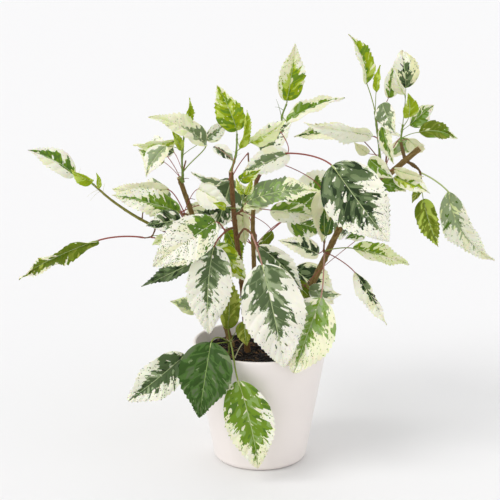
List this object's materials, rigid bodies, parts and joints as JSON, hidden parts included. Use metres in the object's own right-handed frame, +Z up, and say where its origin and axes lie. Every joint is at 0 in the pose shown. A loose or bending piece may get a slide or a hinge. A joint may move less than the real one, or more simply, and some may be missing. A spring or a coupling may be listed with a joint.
{
  "type": "potted variegated hibiscus",
  "caption": "Variegated hibiscus shrub with cut-back woody stems, red-stalked leaves splashed white and green, in a round tapered white pot of peat soil.",
  "frame": {"origin": "centre of the pot's flat underside", "axes": "+Z up, +X to the viewer's right, +Y away from the viewer"},
  "size_m": [0.4973, 0.3167, 0.4393],
  "materials": {
    "pot": "smooth white satin glaze with a soft rounded lip",
    "soil": "dark crumbly peat with tan fibres",
    "bark_tan": "tan olive bark with leaf scars and fine lengthwise cracks",
    "bark_brown": "red brown bark, dull, with nodes",
    "foliage": "soft satin leaves splashed white, cream, grey green and bright green"
  },
  "bodies": {
    "root": {"pot": "pot", "soil": "soil", "stem_left": "bark_tan", "stem_right": "bark_tan", "stem_centre": "bark_brown", "stem_back": "bark_brown", "bough_left": "bark_brown", "foliage_left_tip": "foliage", "foliage_left_low": "foliage", "foliage_left_mid": "foliage", "foliage_left_top": "foliage", "foliage_centre_top": "foliage", "foliage_back_top": "foliage", "foliage_big_leaf": "foliage", "foliage_centre": "foliage", "foliage_front_left": "foliage", "foliage_front": "foliage", "foliage_right_mid": "foliage", "foliage_right_low": "foliage", "foliage_low_shoot": "foliage", "foliage_right_top": "foliage", "foliage_right_crown": "foliage", "foliage_right_end": "foliage", "foliage_right_inner": "foliage", "foliage_rear_left": "foliage", "foliage_rear_high_left": "foliage", "foliage_rear_top": "foliage", "foliage_rear_centre": "foliage", "foliage_rear_right": "foliage", "foliage_rear_high_right": "foliage", "foliage_rear_low": "foliage"}
  },
  "joints": []
}
